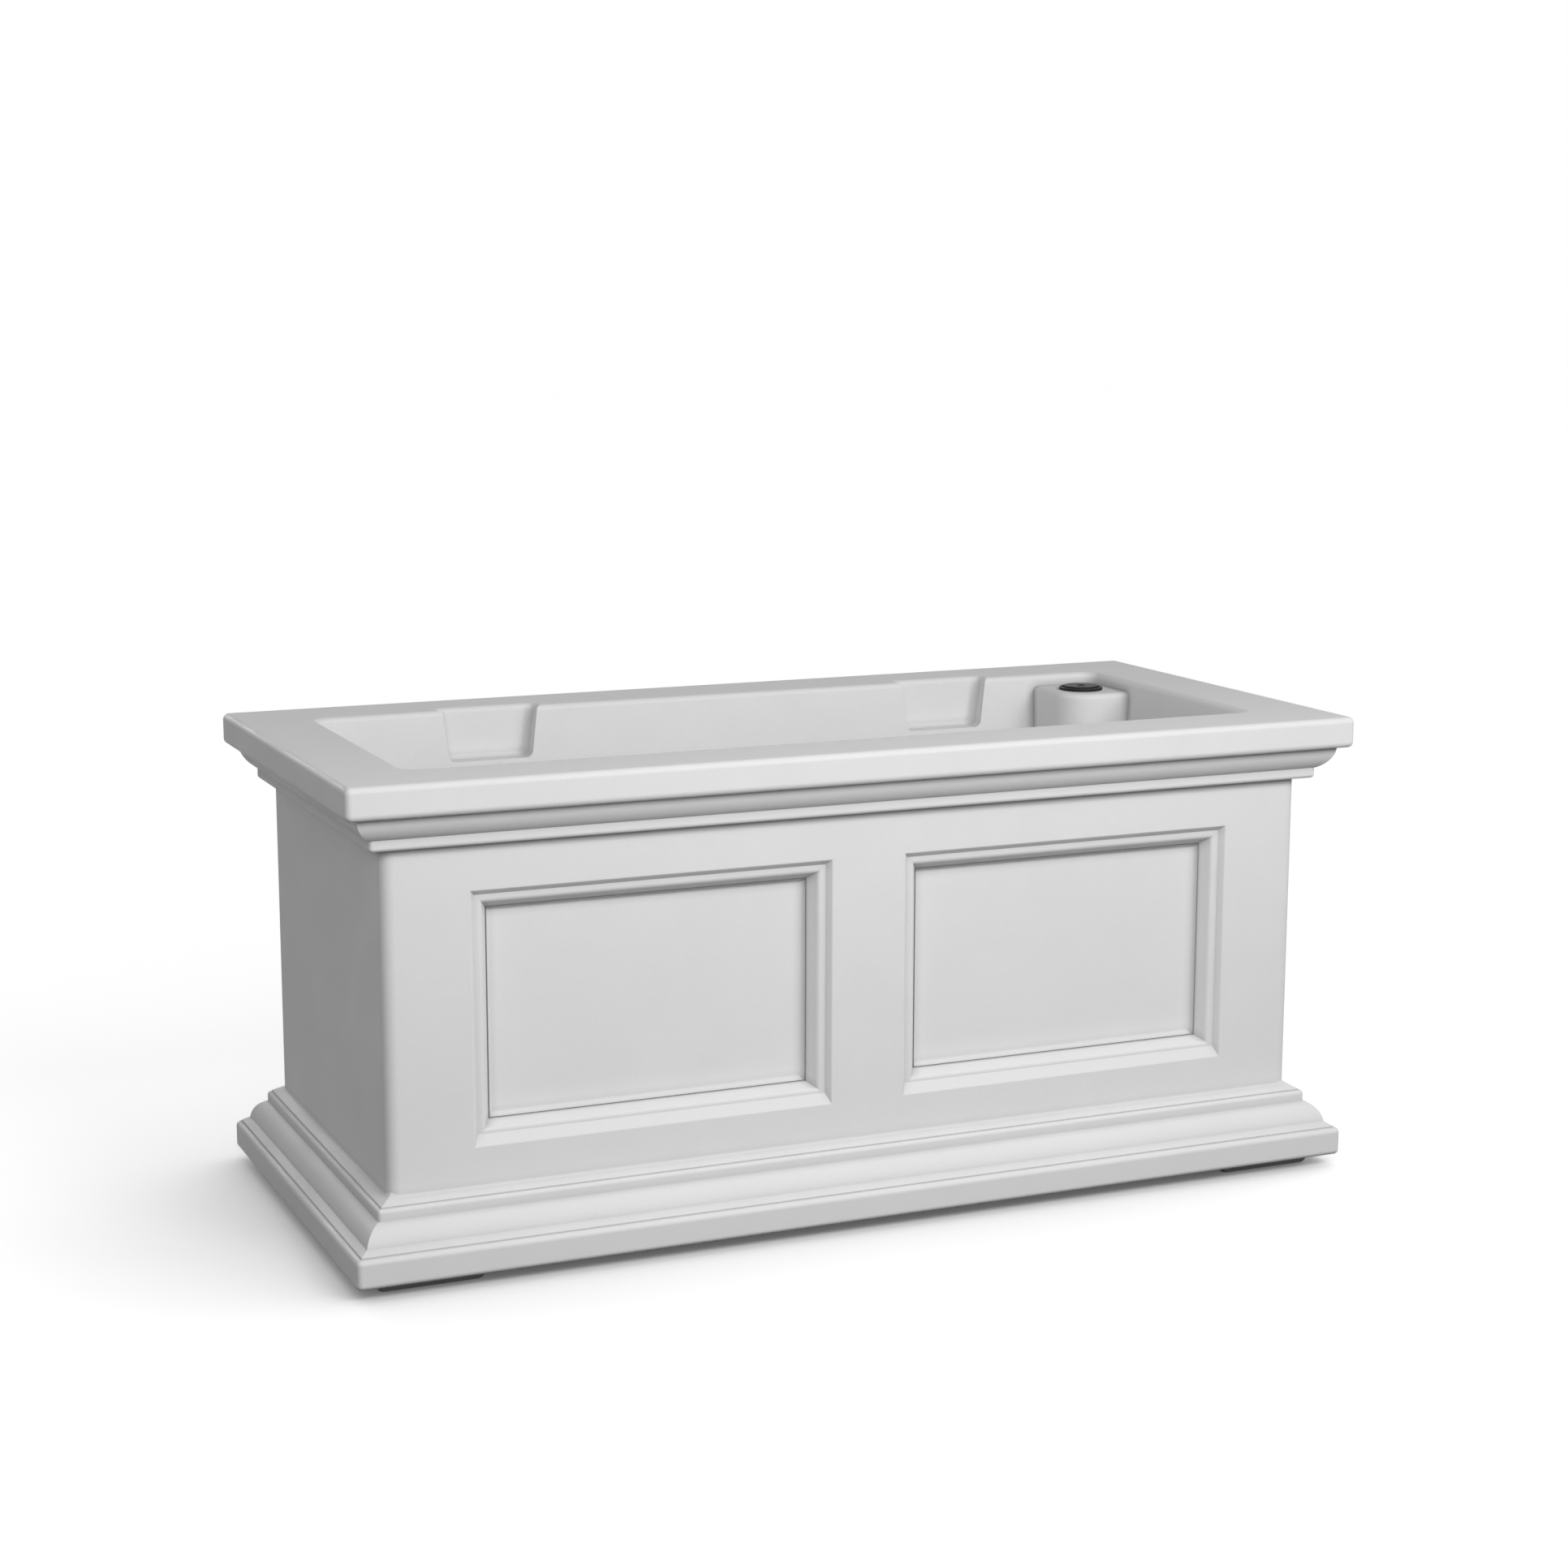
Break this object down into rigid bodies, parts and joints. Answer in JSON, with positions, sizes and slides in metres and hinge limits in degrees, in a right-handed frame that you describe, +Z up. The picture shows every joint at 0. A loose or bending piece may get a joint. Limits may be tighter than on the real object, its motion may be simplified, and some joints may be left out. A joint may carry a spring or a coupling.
{
  "type": "window box planter",
  "caption": "Rectangular double-wall planter with moulded cornice and plinth, recessed front panels, a soil trough, and a water reservoir with pull-out fill and overflow plugs.",
  "frame": {"origin": "on the ground under the middle of the planter", "axes": "+X along the planter to its right end, the panelled front faces -Y, +Z up"},
  "size_m": [0.6096, 0.2794, 0.2743],
  "materials": {
    "shell_plastic": "white moulded polyethylene with a fine matt grain",
    "plug_plastic": "black moulded plastic, satin",
    "foot_rubber": "mid grey rubber, matt"
  },
  "bodies": {
    "planter": {"planter_shell": "shell_plastic", "foot_pad_front_left": "foot_rubber", "foot_pad_front_right": "foot_rubber", "foot_pad_back_left": "foot_rubber", "foot_pad_back_right": "foot_rubber"},
    "fill_plug": {"fill_plug": "plug_plastic"},
    "overflow_plug": {"overflow_plug": "plug_plastic"}
  },
  "joints": [
    {"name": "fill_plug_pull", "type": "slide", "parent": "planter", "child": "fill_plug", "axis": [0, 0, 1], "range_m": [0, 0.03]},
    {"name": "overflow_plug_pull", "type": "slide", "parent": "planter", "child": "overflow_plug", "axis": [0, 1, 0], "range_m": [0, 0.03]}
  ]
}
